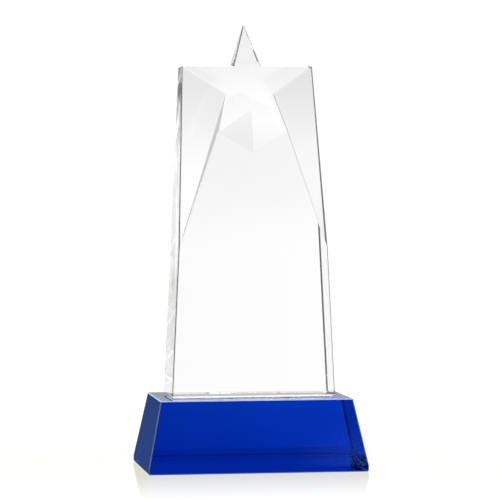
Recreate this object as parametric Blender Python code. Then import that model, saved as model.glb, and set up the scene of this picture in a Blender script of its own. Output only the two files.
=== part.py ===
"""Star tower award: a clear crystal tower with a star cut into its head, bonded to a blue crystal base.

Metres, +Z up. The origin is the centre of the base's underside. +X is the award's right and the star
faces -Y. Nothing moves: the tower, the adhesive film and the base are three rigid pieces.
"""

from math import radians

import bmesh
import bpy
from mathutils import Vector

COLLECTION_NAME = "star_tower_award"

# Base: a four-sided frustum on a short straight lip. All four faces lean in by the same amount.
BASE_WIDTH = 0.1000
BASE_DEPTH = 0.0650
LIP_HEIGHT = 0.0028
BASE_HEIGHT = 0.0327
BASE_LEAN = 0.0062
BASE_TOP_WIDTH = BASE_WIDTH - 2 * BASE_LEAN
BASE_TOP_DEPTH = BASE_DEPTH - 2 * BASE_LEAN

# Adhesive film between the base and the tower, with a small clearance on each side.
BOND_THICKNESS = 0.0003
BOND_CLEARANCE = 0.00025
BOND_INSET = 0.0010

# Tower: a slab of even thickness whose two sides lean in towards the top.
TOWER_THICKNESS = 0.0320
TOWER_BOTTOM_WIDTH = 0.0748
TOWER_SHOULDER_WIDTH = 0.0604
TOWER_BOTTOM = BASE_HEIGHT + BOND_THICKNESS + 2 * BOND_CLEARANCE
TOWER_FRONT = -TOWER_THICKNESS / 2
TOWER_BACK = TOWER_THICKNESS / 2

# Star: its radius and the height of its top point set the face, the rest are its inner corners.
STAR_RADIUS = 0.0278
STAR_TOP = 0.2038
STAR_CENTRE = STAR_TOP - STAR_RADIUS
STAR_FOOT_HALF_WIDTH = 0.0161
STAR_FOOT_HEIGHT = STAR_CENTRE - 0.0225
STAR_CROTCH_HEIGHT = STAR_CENTRE - 0.0127
STAR_WAIST_HALF_WIDTH = 0.0110
STAR_WAIST_HEIGHT = STAR_CENTRE - 0.0052
STAR_NECK_HALF_WIDTH = 0.0064
SHOULDER_HEIGHT = STAR_CENTRE + 0.0080

# Cuts that leave the star standing proud of the tower's front face.
GROOVE_BOTTOM_HEIGHT = 0.1440
RECESS_BOTTOM_HEIGHT = 0.1000

# The star's top point and the arms are never ground to a knife edge.
TIP_THICKNESS = 0.0016

EDGE_CHAMFER = 0.0004
BASE_CHAMFER = 0.0005
SHARPEST_LEFT = radians(20)
WELD_DISTANCE = 0.00005
CUTTER_REACH = 0.12


def clear_scene():
    """Remove every object that the scene starts with."""
    for scene_object in list(bpy.data.objects):
        bpy.data.objects.remove(scene_object, do_unlink=True)


def new_collection(name):
    """Make a collection in the scene and return it."""
    collection = bpy.data.collections.new(name)
    bpy.context.scene.collection.children.link(collection)
    return collection


def crystal_material(name, colour, roughness, transmission):
    """A Principled material for a polished, see-through piece."""
    material = bpy.data.materials.new(name)
    material.use_nodes = True
    material.diffuse_color = (*colour, 1.0)
    shader = material.node_tree.nodes["Principled BSDF"]
    shader.inputs["Base Color"].default_value = (*colour, 1.0)
    shader.inputs["Roughness"].default_value = roughness
    shader.inputs["Metallic"].default_value = 0.0
    shader.inputs["IOR"].default_value = 1.52
    shader.inputs["Transmission Weight"].default_value = transmission
    return material


def object_from_bmesh(name, bm, collection, material=None):
    """Turn a finished bmesh into a named object in a collection."""
    bmesh.ops.recalc_face_normals(bm, faces=bm.faces[:])
    mesh = bpy.data.meshes.new(name)
    bm.to_mesh(mesh)
    bm.free()
    if material is not None:
        mesh.materials.append(material)
    made = bpy.data.objects.new(name, mesh)
    collection.objects.link(made)
    return made


def box_bmesh(low, high):
    """A box between two opposite corners."""
    bm = bmesh.new()
    bmesh.ops.create_cube(bm, size=1.0)
    low = Vector(low)
    high = Vector(high)
    bmesh.ops.scale(bm, vec=high - low, verts=bm.verts[:])
    bmesh.ops.translate(bm, vec=(low + high) / 2, verts=bm.verts[:])
    return bm


def cut_flat(bm, point, normal):
    """Cut a solid with a plane, drop the side the normal points to, and close the cut."""
    geometry = bm.verts[:] + bm.edges[:] + bm.faces[:]
    cut = bmesh.ops.bisect_plane(bm, geom=geometry, plane_co=point, plane_no=normal, clear_outer=True)
    rim = [part for part in cut["geom_cut"] if isinstance(part, bmesh.types.BMEdge)]
    bmesh.ops.edgenet_fill(bm, edges=rim)


def plane_normal(first, second, third, kept):
    """The unit normal of the plane through three points, turned away from the kept point."""
    normal = (second - first).cross(third - first).normalized()
    if normal.dot(kept - first) > 0:
        normal.negate()
    return normal


def wedge_cutter(name, collection, ridge_low, ridge_high, side_a, side_b):
    """A wedge that cuts a V: its ridge is the valley line, its faces pass through side_a and side_b."""
    low = Vector((-CUTTER_REACH, -CUTTER_REACH, 0.0))
    high = Vector((CUTTER_REACH, CUTTER_REACH, STAR_TOP + CUTTER_REACH))
    bm = box_bmesh(low, high)
    for near, far in ((side_a, side_b), (side_b, side_a)):
        cut_flat(bm, ridge_low, plane_normal(ridge_low, ridge_high, near, far))
    cutter = object_from_bmesh(name, bm, collection)
    cutter.hide_render = True
    cutter.display_type = "WIRE"
    return cutter


def tower_half_width(height):
    """Half the tower's width at a height, on its straight leaning sides."""
    share = (height - TOWER_BOTTOM) / (SHOULDER_HEIGHT - TOWER_BOTTOM)
    return (TOWER_BOTTOM_WIDTH + share * (TOWER_SHOULDER_WIDTH - TOWER_BOTTOM_WIDTH)) / 2


def star_face_y(height):
    """How far back the star's face is at a height: it leans from the front face almost to the back."""
    share = (height - STAR_FOOT_HEIGHT) / (STAR_TOP - STAR_FOOT_HEIGHT)
    return TOWER_FRONT + share * (TOWER_THICKNESS - TIP_THICKNESS)


def star_point(x, height):
    """A point of the star's outline, on the leaning star face."""
    return Vector((x, star_face_y(height), height))


def tower_blank():
    """The slab before the star is cut: tapered sides and the leaning star face."""
    reach = TOWER_BOTTOM_WIDTH / 2
    bm = box_bmesh((-reach, TOWER_FRONT, TOWER_BOTTOM), (reach, TOWER_BACK, STAR_TOP + TIP_THICKNESS))
    for side in (-1, 1):
        foot = Vector((side * tower_half_width(TOWER_BOTTOM), 0.0, TOWER_BOTTOM))
        head = Vector((side * tower_half_width(SHOULDER_HEIGHT), 0.0, SHOULDER_HEIGHT))
        behind = foot + Vector((0.0, TOWER_THICKNESS, 0.0))
        cut_flat(bm, foot, plane_normal(foot, head, behind, Vector((0.0, 0.0, STAR_CENTRE))))
    foot_left = star_point(-STAR_FOOT_HALF_WIDTH, STAR_FOOT_HEIGHT)
    foot_right = star_point(STAR_FOOT_HALF_WIDTH, STAR_FOOT_HEIGHT)
    kept = Vector((0.0, TOWER_BACK, TOWER_BOTTOM))
    cut_flat(bm, foot_left, plane_normal(foot_left, foot_right, star_point(0.0, STAR_TOP), kept))
    return bm


def shoulder_cutter(side, collection):
    """The cut beside the star's top point, down to the level shoulder."""
    neck = Vector((side * STAR_NECK_HALF_WIDTH, TOWER_FRONT, SHOULDER_HEIGHT))
    neck_behind = Vector((side * STAR_NECK_HALF_WIDTH, TOWER_BACK, SHOULDER_HEIGHT))
    top = Vector((0.0, TOWER_FRONT, STAR_TOP))
    shoulder = Vector((side * TOWER_SHOULDER_WIDTH, TOWER_FRONT, SHOULDER_HEIGHT))
    return wedge_cutter(f"shoulder_cutter_{side:+d}", collection, neck, neck_behind, top, shoulder)


def recess_cutter(side, collection):
    """The cut beside the star: a broad leaning facet and a narrow wall that meet in a valley."""
    valley_foot = Vector((side * tower_half_width(RECESS_BOTTOM_HEIGHT), TOWER_FRONT, RECESS_BOTTOM_HEIGHT))
    waist = star_point(side * STAR_WAIST_HALF_WIDTH, STAR_WAIST_HEIGHT)
    foot = star_point(side * STAR_FOOT_HALF_WIDTH, STAR_FOOT_HEIGHT)
    arm = star_point(side * tower_half_width(SHOULDER_HEIGHT), SHOULDER_HEIGHT)
    return wedge_cutter(f"recess_cutter_{side:+d}", collection, valley_foot, waist, foot, arm)


def groove_cutter(collection):
    """The V cut between the star's two feet, running out on the front face."""
    bottom = Vector((0.0, TOWER_FRONT, GROOVE_BOTTOM_HEIGHT))
    crotch = star_point(0.0, STAR_CROTCH_HEIGHT)
    feet = [star_point(side * STAR_FOOT_HALF_WIDTH, STAR_FOOT_HEIGHT) for side in (-1, 1)]
    return wedge_cutter("groove_cutter", collection, bottom, crotch, *feet)


def add_cut(target, cutter):
    """Take a cutter out of a piece with an exact Boolean."""
    boolean = target.modifiers.new(cutter.name, "BOOLEAN")
    boolean.operation = "DIFFERENCE"
    boolean.solver = "EXACT"
    boolean.object = cutter


def chamfer_outer_edges(piece, width):
    """Take the sharpness off every outward edge, as polishing does, and leave the cut valleys sharp."""
    shaped = bpy.data.meshes.new_from_object(piece.evaluated_get(bpy.context.evaluated_depsgraph_get()))
    piece.modifiers.clear()
    bm = bmesh.new()
    bm.from_mesh(shaped)
    bmesh.ops.remove_doubles(bm, verts=bm.verts[:], dist=WELD_DISTANCE)
    outward = [edge for edge in bm.edges if edge.calc_face_angle_signed() > SHARPEST_LEFT]
    bmesh.ops.bevel(bm, geom=outward, offset=width, offset_type="OFFSET", segments=1, affect="EDGES")
    bm.to_mesh(piece.data)
    bm.free()
    bpy.data.meshes.remove(shaped)


def build_tower(parts, cutters):
    """The clear crystal tower with the star cut into its head."""
    clear = crystal_material("clear_crystal", (0.95, 0.96, 0.97), 0.02, 1.0)
    tower = object_from_bmesh("crystal_star_tower", tower_blank(), parts, clear)
    for side in (-1, 1):
        add_cut(tower, shoulder_cutter(side, cutters))
        add_cut(tower, recess_cutter(side, cutters))
    add_cut(tower, groove_cutter(cutters))
    chamfer_outer_edges(tower, EDGE_CHAMFER)
    return tower


def build_base(parts):
    """The blue crystal base: a straight lip, then four faces leaning in to a flat top."""
    blue = crystal_material("blue_crystal", (0.0, 0.023, 0.36), 0.03, 0.6)
    bm = box_bmesh(
        (-BASE_WIDTH / 2, -BASE_DEPTH / 2, 0.0),
        (BASE_WIDTH / 2, BASE_DEPTH / 2, LIP_HEIGHT),
    )
    lip_top = max(bm.faces, key=lambda face: face.calc_center_median().z)
    raised = bmesh.ops.extrude_face_region(bm, geom=[lip_top])
    bm.faces.remove(lip_top)
    top_corners = [part for part in raised["geom"] if isinstance(part, bmesh.types.BMVert)]
    shrink = (BASE_TOP_WIDTH / BASE_WIDTH, BASE_TOP_DEPTH / BASE_DEPTH, 1.0)
    bmesh.ops.scale(bm, vec=shrink, verts=top_corners)
    bmesh.ops.translate(bm, vec=(0.0, 0.0, BASE_HEIGHT - LIP_HEIGHT), verts=top_corners)
    base = object_from_bmesh("blue_crystal_base", bm, parts, blue)
    chamfer_outer_edges(base, BASE_CHAMFER)
    return base


def build_bond(parts):
    """The cured adhesive film under the tower."""
    film = crystal_material("clear_adhesive", (0.86, 0.87, 0.88), 0.35, 0.4)
    half_width = TOWER_BOTTOM_WIDTH / 2 - BOND_INSET
    half_depth = TOWER_THICKNESS / 2 - BOND_INSET
    bottom = BASE_HEIGHT + BOND_CLEARANCE
    bm = box_bmesh(
        (-half_width, -half_depth, bottom),
        (half_width, half_depth, bottom + BOND_THICKNESS),
    )
    upright = [edge for edge in bm.edges if edge.verts[0].co.z != edge.verts[1].co.z]
    bmesh.ops.bevel(bm, geom=upright, offset=BOND_INSET, segments=4, profile=0.5, affect="EDGES")
    return object_from_bmesh("adhesive_bond", bm, parts, film)


def main():
    """Build the award."""
    clear_scene()
    parts = new_collection(COLLECTION_NAME)
    cutters = new_collection("cutters")
    build_base(parts)
    build_bond(parts)
    build_tower(parts, cutters)


main()
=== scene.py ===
"""Studio look of the star tower award: clear crystal tower, cobalt crystal base, white sweep."""

import math

import bmesh
import bpy
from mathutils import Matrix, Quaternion, Vector


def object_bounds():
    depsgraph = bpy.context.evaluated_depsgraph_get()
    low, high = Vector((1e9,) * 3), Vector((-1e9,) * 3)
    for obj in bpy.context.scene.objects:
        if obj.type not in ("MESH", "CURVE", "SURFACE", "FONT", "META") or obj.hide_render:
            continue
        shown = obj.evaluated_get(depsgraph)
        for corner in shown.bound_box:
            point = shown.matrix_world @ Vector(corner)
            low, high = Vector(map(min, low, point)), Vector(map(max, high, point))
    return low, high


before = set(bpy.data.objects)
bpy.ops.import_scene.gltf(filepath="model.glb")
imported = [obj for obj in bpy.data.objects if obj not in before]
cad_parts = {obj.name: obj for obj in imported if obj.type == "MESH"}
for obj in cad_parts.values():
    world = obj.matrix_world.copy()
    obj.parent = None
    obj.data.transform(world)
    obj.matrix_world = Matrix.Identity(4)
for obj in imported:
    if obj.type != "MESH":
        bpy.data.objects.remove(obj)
cad_low, cad_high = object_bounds()

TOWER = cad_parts["crystal_star_tower"]
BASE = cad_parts["blue_crystal_base"]
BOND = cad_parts["adhesive_bond"]

# Camera, in degrees, metres and millimetres: left of the front, just above the award's middle.
CAMERA_AZIMUTH = -8.37
CAMERA_ELEVATION = 1.476
CAMERA_ROLL = -0.147
CAMERA_DISTANCE = 1.2856
CAMERA_TARGET = Vector((0.0007, 0.0, 0.0995))
CAMERA_NEAREST = 0.01
CAMERA_FARTHEST = 20.0
LENS = 201.6
SENSOR = 36.0

# Light paths: enough bounces for light trapped in the crystal.
MOST_BOUNCES = 32
GLOSSY_BOUNCES = 24
DIFFUSE_BOUNCES = 3

# Surface finish. Depths are in metres, noise scales in cycles per metre.
CRYSTAL_IOR = 1.52
WAVE_DEPTH = 0.0000012
WAVE_SCALE = 60.0
SMEAR_ROUGHNESS = 0.012
SMEAR_SCALE = 45.0
SMEAR_RANGE = (0.55, 0.8)
CHAMFER_SOFTNESS = 0.02
LEVEL_TILT = 0.99
BEVEL_SAMPLES = 4
CREASE_LIKENESS = (0.97, 0.999)

# Clear crystal: tints, and how strongly its corners, creases and ground underside show. The dark edge
# tint is painted shade along its chamfers and creases.
CLEAR_TINT = (0.995, 0.995, 0.995)
# Painted shade: the dark tint that the chamfers and the thin lines along every edge take.
CLEAR_EDGE_PAINTED_SHADE = (0.10, 0.10, 0.11)
CLEAR_EDGE_ROUGHNESS = 0.08
CLEAR_SHADE = (0.96, 0.97, 0.97)
CLEAR_STEEPEST = 0.79
CORNER_TILTS = (0.2, 0.35)
LEANING_CORNER_SHADE_SHARE = 0.6
CREASE_RADIUS = 0.0004
# Share of the painted shade, and of the extra roughness, along the thin lines at the edges.
CREASE_SHADE_SHARE = 0.35
UNDERSIDE_TINT = (0.42, 0.38, 0.35)
UNDERSIDE_SCALE = 180.0
UNDERSIDE_RANGE = (0.35, 0.65)
UNDERSIDE_SHARES = (0.05, 0.30)

# Cobalt crystal: its waves and smears as a share of the tower's, its tints, and its colour by depth.
# Its chamfers are finely ground, and the ones that face up show it most.
COBALT_FINISH = 0.3
COBALT_CASTS = ((0.16, 0.56, 0.93), (0.22, 0.60, 0.96))
COBALT_CAST_SCALE = 25.0
COBALT_CAST_RANGE = (0.3, 0.7)
COBALT_SHADE = (0.25, 0.3, 0.5)
COBALT_DEPTH_COLOUR = (0.36, 0.565, 0.861, 1.0)
COBALT_DEPTH_DENSITY = 100.0
COBALT_STEEPEST = 0.86
COBALT_EDGE_ROUGHNESS = 0.1
COBALT_EDGE_TINT = (0.62, 0.80, 1.0)
RISING_EDGES = (0.3, 0.5)
GROUND_EDGE_SHARES = (0.4, 0.75)

# Painted reflection: a dark cobalt tint on what the base's outer faces mirror, apart from its top. It
# stands in for dark blue surroundings that the studio lacks.
PAINTED_FLANK_REFLECTION = (0.048, 0.11, 0.38)
TOP_TILT = 0.9

# Adhesive film.
FILM_TRANSMISSION = 0.5
FILM_TINTS = ((0.93, 0.93, 0.94), (0.80, 0.78, 0.77))
FILM_CLOUD_SCALE = 220.0
FILM_CLOUD_RANGE = (0.35, 0.7)
FILM_ROUGHNESSES = (0.2, 0.45)
FILM_GRAIN_SCALE = 900.0
FILM_GRAIN_DEPTH = 0.00003

# Brightness of the studio's parts, as the crystal sees them. White is 1.
SWEEP_LEVEL = 1.07
ROOM_LEVEL = 0.18
CAMERA_SIDE_LEVEL = 0.015
SOFTBOX_LEVEL = 1.4
OVERHEAD_LEVEL = 0.85
STRIP_LEVEL = 1.5
WINDOW_LEVEL = 5.0
BACKDROP_LEVEL = 1.05

# Directions in the studio: degrees right of the line of sight, and degrees above the horizon.
# Two values are the start and end of a fade. Four are a patch: start, full, end of full, end.
ROOM_FADE = (115.0, 150.0)
SOFTBOX_AZIMUTHS = (-125.0, -105.0, 12.0, 45.0)
SOFTBOX_ELEVATIONS = (11.0, 17.0, 72.0, 85.0)
OVERHEAD_FADE = (52.0, 66.0)
STRIP_AZIMUTHS = (-19.0, -17.0, -12.0, -9.0)
STRIP_ELEVATIONS = (-3.2, -0.4, 1.0, 2.8)
WINDOW_AZIMUTHS = (135.0, 145.0, 160.0, 162.5)
WINDOW_ELEVATIONS = (9.0, 14.0, 17.2, 18.2)
SWEEP_LEFT_FADE = (-42.0, -24.0)
SWEEP_RIGHT_FADE = (19.0, 30.0)
SWEEP_NADIR_FADE = (-60.0, -38.0)
SWEEP_NADIR_SHARE = 0.05

# The sweep grows brighter to the right near the line of sight, by so much per degree.
TILT_REACH = 3.5
WALL_TILT = 0.010
FLOOR_TILT = 0.06
FLOOR_TILT_FADE = (-17.5, -15.5)

# The glow on the sweep's wall is an arch: its foot, height and half width in degrees.
ARCH_FOOT = -1.0
ARCH_HEIGHT = 24.0
ARCH_HALF_WIDTH = 15.5
ARCH_SIDES_FADE = (-2.5, 1.5)
ARCH_EDGE = (0.0, 1.1)

# Where the sweep is darker: each depth is the share of light taken away.
SIDES_DEPTH = 0.2
SIDES_AZIMUTHS = (2.5, 6.5, 9.0, 13.0)
SIDES_FADE = (-7.0, -4.5)
FLOOR_DIPS = ((0.10, (-16.2, -14.8, -8.6, -7.4)), (0.10, (-17.0, -14.8, -12.0, -10.0)))
WALL_DEPTH = 0.07
WALL_FADE = (-1.6, 0.3)
SEAM_DEPTH = 0.46
SEAM_ELEVATIONS = (1.5, 3.4, 4.7, 5.8)

# Floor, in metres: a disc just under the award, with a soft reflection near the base and a lowered,
# yellowish glow there as painted shade.
FLOOR_RADIUS = 1.0
FLOOR_SEGMENTS = 96
FLOOR_GAP = 0.0001
FLOOR_MIRROR_TINT = (0.36, 0.36, 0.45, 1.0)
FLOOR_MIRROR_ROUGHNESS = 0.07
# Painted shade: the lowered, yellowish glow of the floor near the base, under its reflection.
FLOOR_SHADE = (0.69, 0.69, 0.57, 1.0)
REFLECTION_REACH = (-0.03, 0.13)
REFLECTION_STEEPNESS = (0.12, 0.45)
STEEP_REFLECTION_SHARE = 0.25

# Lamp overhead, in metres and watts.
LAMP_HEIGHT = 1.6
LAMP_SIZE = 1.6
LAMP_WATTS = 60.0


# ---------------------------------------------------------------- node helpers


def node_material(name):
    """A new material with an empty node tree and its output node."""
    material = bpy.data.materials.new(name)
    material.use_nodes = True
    tree = material.node_tree
    tree.nodes.clear()
    output = tree.nodes.new("ShaderNodeOutputMaterial")
    return material, tree, output


def plug(tree, socket, value):
    """Link a socket, or set a plain value."""
    if isinstance(value, bpy.types.NodeSocket):
        tree.links.new(value, socket)
    else:
        socket.default_value = value


def math_node(tree, operation, first, second=None):
    """One Math node; its operands are sockets or numbers."""
    node = tree.nodes.new("ShaderNodeMath")
    node.operation = operation
    plug(tree, node.inputs[0], first)
    if second is not None:
        plug(tree, node.inputs[1], second)
    return node.outputs[0]


def product(tree, *factors):
    """The product of any number of sockets or numbers."""
    result = factors[0]
    for factor in factors[1:]:
        result = math_node(tree, "MULTIPLY", result, factor)
    return result


def smooth_range(tree, value, start, end, low=0.0, high=1.0):
    """A smooth step of a value: low at start, high at end."""
    node = tree.nodes.new("ShaderNodeMapRange")
    node.interpolation_type = "SMOOTHSTEP"
    for socket, setting in zip(node.inputs, (value, start, end, low, high)):
        plug(tree, socket, setting)
    return node.outputs["Result"]


def patch(tree, value, start, full, full_end, end):
    """A smooth bump of a value: 1 from full to full_end, 0 outside start and end."""
    rise = smooth_range(tree, value, start, full)
    fall = smooth_range(tree, value, full_end, end, 1.0, 0.0)
    return product(tree, rise, fall)


def split_vector(tree, vector):
    """The X, Y and Z sockets of a vector."""
    node = tree.nodes.new("ShaderNodeSeparateXYZ")
    tree.links.new(vector, node.inputs[0])
    return node.outputs["X"], node.outputs["Y"], node.outputs["Z"]


def mix_colours(tree, factor, first, second):
    """Mix two colours: factor 0 is the first, 1 the second."""
    node = tree.nodes.new("ShaderNodeMix")
    node.data_type = "RGBA"
    # The colour sockets of this node are inputs 6 and 7 and output 2.
    plug(tree, node.inputs[0], factor)
    plug(tree, node.inputs[6], (*first, 1.0))
    plug(tree, node.inputs[7], (*second, 1.0))
    return node.outputs[2]


def mix_shaders(tree, factor, first, second):
    """Mix two shaders: factor 0 is the first, 1 the second."""
    mix = tree.nodes.new("ShaderNodeMixShader")
    plug(tree, mix.inputs[0], factor)
    tree.links.new(first, mix.inputs[1])
    tree.links.new(second, mix.inputs[2])
    return mix.outputs[0]


def light_path(tree, kind):
    """1 for rays of one kind, such as 'Is Camera Ray'."""
    return tree.nodes.new("ShaderNodeLightPath").outputs[kind]


def transparent(tree, colour=(1.0, 1.0, 1.0)):
    """A shader that lets rays straight through."""
    node = tree.nodes.new("ShaderNodeBsdfTransparent")
    node.inputs["Color"].default_value = (*colour, 1.0)
    return node.outputs[0]


def noise(tree, scale, detail):
    """Smooth noise over the object, from 0 to 1. The scale is in cycles per metre."""
    coordinates = tree.nodes.new("ShaderNodeTexCoord")
    node = tree.nodes.new("ShaderNodeTexNoise")
    node.inputs["Scale"].default_value = scale
    node.inputs["Detail"].default_value = detail
    tree.links.new(coordinates.outputs["Object"], node.inputs["Vector"])
    return node.outputs["Fac"]


def bump(tree, height, distance):
    """A bumped normal from a height between 0 and 1, with its real depth in metres."""
    node = tree.nodes.new("ShaderNodeBump")
    node.inputs["Distance"].default_value = distance
    tree.links.new(height, node.inputs["Height"])
    return node.outputs["Normal"]


# ---------------------------------------------------------------- masks


def face_normal(tree):
    """The X, Y and Z sockets of a face's own normal, before any bump."""
    geometry = tree.nodes.new("ShaderNodeNewGeometry")
    return split_vector(tree, geometry.outputs["True Normal"])


def chamfer_mask(tree, steepest):
    """1 on the narrow chamfers, whose normals lie between the main directions."""
    x, y, z = (math_node(tree, "ABSOLUTE", part) for part in face_normal(tree))
    largest = math_node(tree, "MAXIMUM", math_node(tree, "MAXIMUM", x, y), z)
    return smooth_range(tree, largest, steepest - CHAMFER_SOFTNESS, steepest, 1.0, 0.0)


def tilt(tree):
    """How far a face leans up or down: 0 on upright faces, 1 on level ones."""
    _, _, z = face_normal(tree)
    return math_node(tree, "ABSOLUTE", z)


def edge_mask(tree, radius):
    """1 within a radius of any edge: there the rounded normal leaves the flat one."""
    geometry = tree.nodes.new("ShaderNodeNewGeometry")
    rounded = tree.nodes.new("ShaderNodeBevel")
    rounded.samples = BEVEL_SAMPLES
    rounded.inputs["Radius"].default_value = radius
    likeness = tree.nodes.new("ShaderNodeVectorMath")
    likeness.operation = "DOT_PRODUCT"
    tree.links.new(geometry.outputs["Normal"], likeness.inputs[0])
    tree.links.new(rounded.outputs[0], likeness.inputs[1])
    return smooth_range(tree, likeness.outputs["Value"], *CREASE_LIKENESS, 1.0, 0.0)


# ---------------------------------------------------------------- materials


def polish_roughness(tree, edge, edge_roughness, finish=1.0):
    """Polished faces with faint smears, and rougher edges."""
    patchy = noise(tree, SMEAR_SCALE, detail=4.0)
    smears = smooth_range(tree, patchy, *SMEAR_RANGE, 0.0, SMEAR_ROUGHNESS * finish)
    return math_node(tree, "ADD", smears, product(tree, edge, edge_roughness))


def lapping(tree, finish=1.0):
    """The gentle waves that lapping and polishing leave on a flat crystal face."""
    return bump(tree, noise(tree, WAVE_SCALE, detail=1.0), WAVE_DEPTH * finish)


def ground_surface(tree, colour):
    """Finely ground crystal: it scatters the light that falls on it from either side."""
    front = tree.nodes.new("ShaderNodeBsdfDiffuse")
    through = tree.nodes.new("ShaderNodeBsdfTranslucent")
    for node in (front, through):
        node.inputs["Color"].default_value = (*colour, 1.0)
    return mix_shaders(tree, 0.5, front.outputs[0], through.outputs[0])


def crystal_look(tree, output, shader, shade):
    """Crystal that lets light through to the floor, tinted by its shade."""
    surface = mix_shaders(tree, light_path(tree, "Is Shadow Ray"), shader, transparent(tree, shade))
    tree.links.new(surface, output.inputs["Surface"])


def clear_glass(tree, edge):
    """Polished clear crystal, softer at its edges and greyed there by painted shade."""
    shader = tree.nodes.new("ShaderNodeBsdfPrincipled")
    shader.inputs["IOR"].default_value = CRYSTAL_IOR
    shader.inputs["Transmission Weight"].default_value = 1.0
    # Painted shade: the edge mask mixes a dark tint into the crystal's colour.
    tree.links.new(mix_colours(tree, edge, CLEAR_TINT, CLEAR_EDGE_PAINTED_SHADE), shader.inputs["Base Color"])
    tree.links.new(polish_roughness(tree, edge, CLEAR_EDGE_ROUGHNESS), shader.inputs["Roughness"])
    tree.links.new(lapping(tree), shader.inputs["Normal"])
    return shader.outputs[0]


def clear_crystal():
    """Optical crystal with painted shade greying its chamfers and thin creases, and a cloudy ground
    underside.
    """
    material, tree, output = node_material("clear_crystal_look")
    creases = product(tree, CREASE_SHADE_SHARE, edge_mask(tree, CREASE_RADIUS))
    leaning = smooth_range(tree, tilt(tree), *CORNER_TILTS, 1.0, LEANING_CORNER_SHADE_SHARE)
    corners = product(tree, chamfer_mask(tree, CLEAR_STEEPEST), leaning)
    polished = clear_glass(tree, math_node(tree, "MAXIMUM", corners, creases))
    patchy = noise(tree, UNDERSIDE_SCALE, detail=5.0)
    cloud = smooth_range(tree, patchy, *UNDERSIDE_RANGE, *UNDERSIDE_SHARES)
    underside = product(tree, math_node(tree, "GREATER_THAN", tilt(tree), LEVEL_TILT), cloud)
    shader = mix_shaders(tree, underside, polished, ground_surface(tree, UNDERSIDE_TINT))
    crystal_look(tree, output, shader, CLEAR_SHADE)
    return material


def base_painted_reflection_tint(tree):
    """Colour of the base's reflections: a painted dark cobalt reflection on its outer faces, neutral on
    its top and inside the glass.
    """
    geometry = tree.nodes.new("ShaderNodeNewGeometry")
    _, _, z = face_normal(tree)
    top = math_node(tree, "GREATER_THAN", z, TOP_TILT)
    neutral = math_node(tree, "MAXIMUM", top, geometry.outputs["Backfacing"])
    return mix_colours(tree, neutral, PAINTED_FLANK_REFLECTION, (1.0, 1.0, 1.0))


def cobalt_glass(tree, edge):
    """Polished cobalt crystal: refraction and reflection, shared out by the Fresnel law."""
    cast = smooth_range(tree, noise(tree, COBALT_CAST_SCALE, detail=3.0), *COBALT_CAST_RANGE)
    bent = tree.nodes.new("ShaderNodeBsdfRefraction")
    mirrored = tree.nodes.new("ShaderNodeBsdfGlossy")
    share = tree.nodes.new("ShaderNodeFresnel")
    tree.links.new(mix_colours(tree, cast, *COBALT_CASTS), bent.inputs["Color"])
    # Painted reflection: on the outer faces the mirrored light takes a dark cobalt tint.
    tree.links.new(base_painted_reflection_tint(tree), mirrored.inputs["Color"])
    roughness = polish_roughness(tree, edge, COBALT_EDGE_ROUGHNESS, COBALT_FINISH)
    normal = lapping(tree, COBALT_FINISH)
    for node in (bent, share):
        node.inputs["IOR"].default_value = CRYSTAL_IOR
    for node in (bent, mirrored):
        tree.links.new(roughness, node.inputs["Roughness"])
    for node in (bent, mirrored, share):
        tree.links.new(normal, node.inputs["Normal"])
    return mix_shaders(tree, share.outputs[0], bent.outputs[0], mirrored.outputs[0])


def blue_crystal():
    """Cobalt crystal with ground chamfers. Its colour deepens with the thickness that light crosses."""
    material, tree, output = node_material("blue_crystal_look")
    edge = chamfer_mask(tree, COBALT_STEEPEST)
    _, _, rise = face_normal(tree)
    ground = product(tree, edge, smooth_range(tree, rise, *RISING_EDGES, *GROUND_EDGE_SHARES))
    shader = mix_shaders(tree, ground, cobalt_glass(tree, edge), ground_surface(tree, COBALT_EDGE_TINT))
    crystal_look(tree, output, shader, COBALT_SHADE)
    depth = tree.nodes.new("ShaderNodeVolumeAbsorption")
    depth.inputs["Color"].default_value = COBALT_DEPTH_COLOUR
    depth.inputs["Density"].default_value = COBALT_DEPTH_DENSITY
    tree.links.new(depth.outputs[0], output.inputs["Volume"])
    return material


def bond_film():
    """Adhesive film, slightly cloudy, with an uneven gloss and a fine grain."""
    material, tree, output = node_material("bond_film_look")
    shader = tree.nodes.new("ShaderNodeBsdfPrincipled")
    shader.inputs["IOR"].default_value = CRYSTAL_IOR
    shader.inputs["Transmission Weight"].default_value = FILM_TRANSMISSION
    cloud = smooth_range(tree, noise(tree, FILM_CLOUD_SCALE, detail=4.0), *FILM_CLOUD_RANGE)
    grain = bump(tree, noise(tree, FILM_GRAIN_SCALE, detail=2.0), FILM_GRAIN_DEPTH)
    tree.links.new(mix_colours(tree, cloud, *FILM_TINTS), shader.inputs["Base Color"])
    tree.links.new(smooth_range(tree, cloud, 0.0, 1.0, *FILM_ROUGHNESSES), shader.inputs["Roughness"])
    tree.links.new(grain, shader.inputs["Normal"])
    crystal_look(tree, output, shader.outputs[0], CLEAR_SHADE)
    return material


def assign(node, material):
    """Give a CAD node one material."""
    node.data.materials.clear()
    node.data.materials.append(material)


# ---------------------------------------------------------------- studio


def studio_directions(tree):
    """Degrees to the right of the line of sight, and degrees above the horizon."""
    coordinates = tree.nodes.new("ShaderNodeTexCoord")
    right, _, ahead = split_vector(tree, coordinates.outputs["Camera"])
    azimuth = math_node(tree, "DEGREES", math_node(tree, "ARCTAN2", right, ahead))
    straight = tree.nodes.new("ShaderNodeVectorMath")
    straight.operation = "NORMALIZE"
    tree.links.new(coordinates.outputs["Generated"], straight.inputs[0])
    _, _, up = split_vector(tree, straight.outputs[0])
    elevation = math_node(tree, "DEGREES", math_node(tree, "ARCSINE", up))
    return azimuth, elevation


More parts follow.
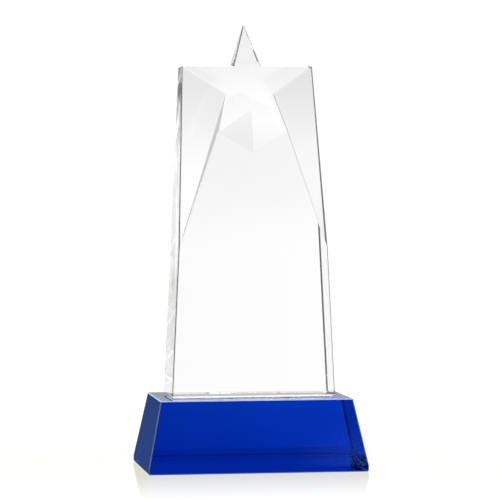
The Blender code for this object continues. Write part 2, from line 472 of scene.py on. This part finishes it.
def dimmed(tree, level, depth, *patches):
    """A level lowered by a depth, from 0 to 1, where all the patches meet."""
    return product(tree, level, math_node(tree, "SUBTRACT", 1.0, product(tree, depth, *patches)))


def sweep_slope(tree, azimuth, elevation):
    """What the sweep's brightness gains to the right of the line of sight, and loses to its left."""
    near_axis = math_node(tree, "MINIMUM", azimuth, TILT_REACH)
    near_axis = math_node(tree, "MAXIMUM", near_axis, -TILT_REACH)
    slope = smooth_range(tree, elevation, *FLOOR_TILT_FADE, FLOOR_TILT, WALL_TILT)
    return product(tree, slope, near_axis)


def sweep_arch(tree, sideways, elevation):
    """The shape of the glow on the sweep's wall: 1 in its middle and below it, 0 outside."""
    above = math_node(tree, "MAXIMUM", math_node(tree, "SUBTRACT", elevation, ARCH_FOOT), 0.0)
    above = math_node(tree, "DIVIDE", above, ARCH_HEIGHT)
    beside = math_node(tree, "DIVIDE", sideways, ARCH_HALF_WIDTH)
    beside = product(tree, beside, beside, smooth_range(tree, elevation, *ARCH_SIDES_FADE))
    distance = math_node(tree, "ADD", product(tree, above, above), beside)
    return smooth_range(tree, distance, *ARCH_EDGE, 1.0, 0.0)


def sweep_brightness(tree, azimuth, elevation):
    """The white sweep ahead: wide below the horizon, an arched glow above, and a soft seam between."""
    sideways = math_node(tree, "ABSOLUTE", azimuth)
    level = product(
        tree,
        math_node(tree, "ADD", SWEEP_LEVEL, sweep_slope(tree, azimuth, elevation)),
        smooth_range(tree, azimuth, *SWEEP_LEFT_FADE),
        smooth_range(tree, azimuth, *SWEEP_RIGHT_FADE, 1.0, 0.0),
        smooth_range(tree, elevation, *SWEEP_NADIR_FADE, SWEEP_NADIR_SHARE, 1.0),
        sweep_arch(tree, sideways, elevation),
    )
    beside_axis = patch(tree, sideways, *SIDES_AZIMUTHS)
    level = dimmed(tree, level, SIDES_DEPTH, beside_axis, smooth_range(tree, elevation, *SIDES_FADE))
    for depth, elevations in FLOOR_DIPS:
        level = dimmed(tree, level, depth, patch(tree, elevation, *elevations))
    level = dimmed(tree, level, WALL_DEPTH, smooth_range(tree, elevation, *WALL_FADE))
    return dimmed(tree, level, SEAM_DEPTH, patch(tree, elevation, *SEAM_ELEVATIONS))


def softbox_brightness(tree, azimuth, elevation):
    """A big softbox high on the left."""
    width = patch(tree, azimuth, *SOFTBOX_AZIMUTHS)
    return product(tree, SOFTBOX_LEVEL, width, patch(tree, elevation, *SOFTBOX_ELEVATIONS))


def overhead_brightness(tree, elevation):
    """A round light straight above."""
    return product(tree, OVERHEAD_LEVEL, smooth_range(tree, elevation, *OVERHEAD_FADE))


def strip_brightness(tree, azimuth, elevation):
    """A short strip light to the left of the sweep, which the tower's left side reflects."""
    width = patch(tree, azimuth, *STRIP_AZIMUTHS)
    return product(tree, STRIP_LEVEL, width, patch(tree, elevation, *STRIP_ELEVATIONS))


def window_brightness(tree, azimuth, elevation):
    """A small bright window behind the camera's right shoulder."""
    width = patch(tree, azimuth, *WINDOW_AZIMUTHS)
    return product(tree, WINDOW_LEVEL, width, patch(tree, elevation, *WINDOW_ELEVATIONS))


def studio_world():
    """A studio that turns with the camera, so the award is lit alike from every side."""
    world = bpy.data.worlds.new("studio")
    bpy.context.scene.world = world
    world.use_nodes = True
    tree = world.node_tree
    tree.nodes.clear()
    output = tree.nodes.new("ShaderNodeOutputWorld")
    azimuth, elevation = studio_directions(tree)
    sideways = math_node(tree, "ABSOLUTE", azimuth)
    lights = (
        sweep_brightness(tree, azimuth, elevation),
        softbox_brightness(tree, azimuth, elevation),
        overhead_brightness(tree, elevation),
        strip_brightness(tree, azimuth, elevation),
        window_brightness(tree, azimuth, elevation),
    )
    level = smooth_range(tree, sideways, *ROOM_FADE, ROOM_LEVEL, CAMERA_SIDE_LEVEL)
    for light in lights:
        level = math_node(tree, "MAXIMUM", level, light)
    shaped = tree.nodes.new("ShaderNodeBackground")
    tree.links.new(level, shaped.inputs["Color"])
    seen = tree.nodes.new("ShaderNodeBackground")
    seen.inputs["Strength"].default_value = BACKDROP_LEVEL
    seen.inputs["Color"].default_value = (1.0, 1.0, 1.0, 1.0)
    surface = mix_shaders(tree, light_path(tree, "Is Camera Ray"), shaped.outputs[0], seen.outputs[0])
    tree.links.new(surface, output.inputs["Surface"])


def shade_and_reflection_share(tree):
    """How much the floor reflects and takes its painted shade: most beside the base, less away from it
    and seen from above.
    """
    coordinates = tree.nodes.new("ShaderNodeTexCoord")
    right, ahead, _ = split_vector(tree, coordinates.outputs["Object"])
    squares = []
    for offset, half_size in ((right, cad_high.x), (ahead, cad_high.y)):
        beyond = math_node(tree, "SUBTRACT", math_node(tree, "ABSOLUTE", offset), half_size)
        beyond = math_node(tree, "MAXIMUM", beyond, 0.0)
        squares.append(product(tree, beyond, beyond))
    gap = math_node(tree, "SQRT", math_node(tree, "ADD", *squares))
    geometry = tree.nodes.new("ShaderNodeNewGeometry")
    _, _, steepness = split_vector(tree, geometry.outputs["Incoming"])
    grazing = smooth_range(tree, steepness, *REFLECTION_STEEPNESS, 1.0, STEEP_REFLECTION_SHARE)
    return product(tree, grazing, smooth_range(tree, gap, *REFLECTION_REACH, 1.0, 0.0))


def floor_look():
    """Pale glowing floor with a short soft reflection near the base, where its glow is lowered as
    painted shade. Only the camera sees it: the crystal sees the sweep.
    """
    material, tree, output = node_material("floor_look")
    sheen = tree.nodes.new("ShaderNodeBsdfGlossy")
    sheen.inputs["Color"].default_value = FLOOR_MIRROR_TINT
    sheen.inputs["Roughness"].default_value = FLOOR_MIRROR_ROUGHNESS
    # Painted shade: near the base the floor glows less, and with a yellowish tint.
    shaded = tree.nodes.new("ShaderNodeEmission")
    shaded.inputs["Color"].default_value = FLOOR_SHADE
    reflecting = tree.nodes.new("ShaderNodeAddShader")
    tree.links.new(shaded.outputs[0], reflecting.inputs[0])
    tree.links.new(sheen.outputs[0], reflecting.inputs[1])
    white = tree.nodes.new("ShaderNodeEmission")
    white.inputs["Strength"].default_value = BACKDROP_LEVEL
    seen = mix_shaders(tree, shade_and_reflection_share(tree), white.outputs[0], reflecting.outputs[0])
    surface = mix_shaders(tree, light_path(tree, "Is Camera Ray"), transparent(tree), seen)
    tree.links.new(surface, output.inputs["Surface"])
    return material


def floor():
    """A round floor just under the award."""
    bm = bmesh.new()
    bmesh.ops.create_circle(bm, cap_ends=True, segments=FLOOR_SEGMENTS, radius=FLOOR_RADIUS)
    mesh = bpy.data.meshes.new("floor")
    bm.to_mesh(mesh)
    bm.free()
    mesh.materials.append(floor_look())
    plane = bpy.data.objects.new("floor", mesh)
    plane.location.z = cad_low.z - FLOOR_GAP
    bpy.context.scene.collection.objects.link(plane)


def lamp():
    """A soft light overhead for the ground crystal and the adhesive. The crystal doesn't mirror it."""
    light = bpy.data.lights.new("overhead", "AREA")
    light.shape = "SQUARE"
    light.size = LAMP_SIZE
    light.energy = LAMP_WATTS
    overhead = bpy.data.objects.new("overhead", light)
    overhead.location.z = LAMP_HEIGHT
    overhead.visible_camera = False
    overhead.visible_glossy = False
    overhead.visible_transmission = False
    bpy.context.scene.collection.objects.link(overhead)


def camera():
    """The camera, slightly left of the front and slightly above the middle of the award."""
    data = bpy.data.cameras.new("camera")
    data.sensor_width = SENSOR
    data.lens = LENS
    data.clip_start = CAMERA_NEAREST
    data.clip_end = CAMERA_FARTHEST
    viewer = bpy.data.objects.new("camera", data)
    azimuth = math.radians(CAMERA_AZIMUTH)
    elevation = math.radians(CAMERA_ELEVATION)
    level = math.cos(elevation)
    back = Vector((math.sin(azimuth) * level, -math.cos(azimuth) * level, math.sin(elevation)))
    viewer.location = CAMERA_TARGET + back * CAMERA_DISTANCE
    viewer.rotation_mode = "QUATERNION"
    roll = Quaternion((0.0, 0.0, 1.0), math.radians(CAMERA_ROLL))
    viewer.rotation_quaternion = (-back).to_track_quat("-Z", "Y") @ roll
    bpy.context.scene.collection.objects.link(viewer)
    bpy.context.scene.camera = viewer


def render_settings():
    """Plain tones, with no filmic roll-off, and the light paths."""
    scene = bpy.context.scene
    scene.view_settings.view_transform = "Standard"
    scene.cycles.max_bounces = MOST_BOUNCES
    scene.cycles.transmission_bounces = MOST_BOUNCES
    scene.cycles.glossy_bounces = GLOSSY_BOUNCES
    scene.cycles.diffuse_bounces = DIFFUSE_BOUNCES


assign(TOWER, clear_crystal())
assign(BASE, blue_crystal())
assign(BOND, bond_film())
studio_world()
floor()
lamp()
camera()
render_settings()
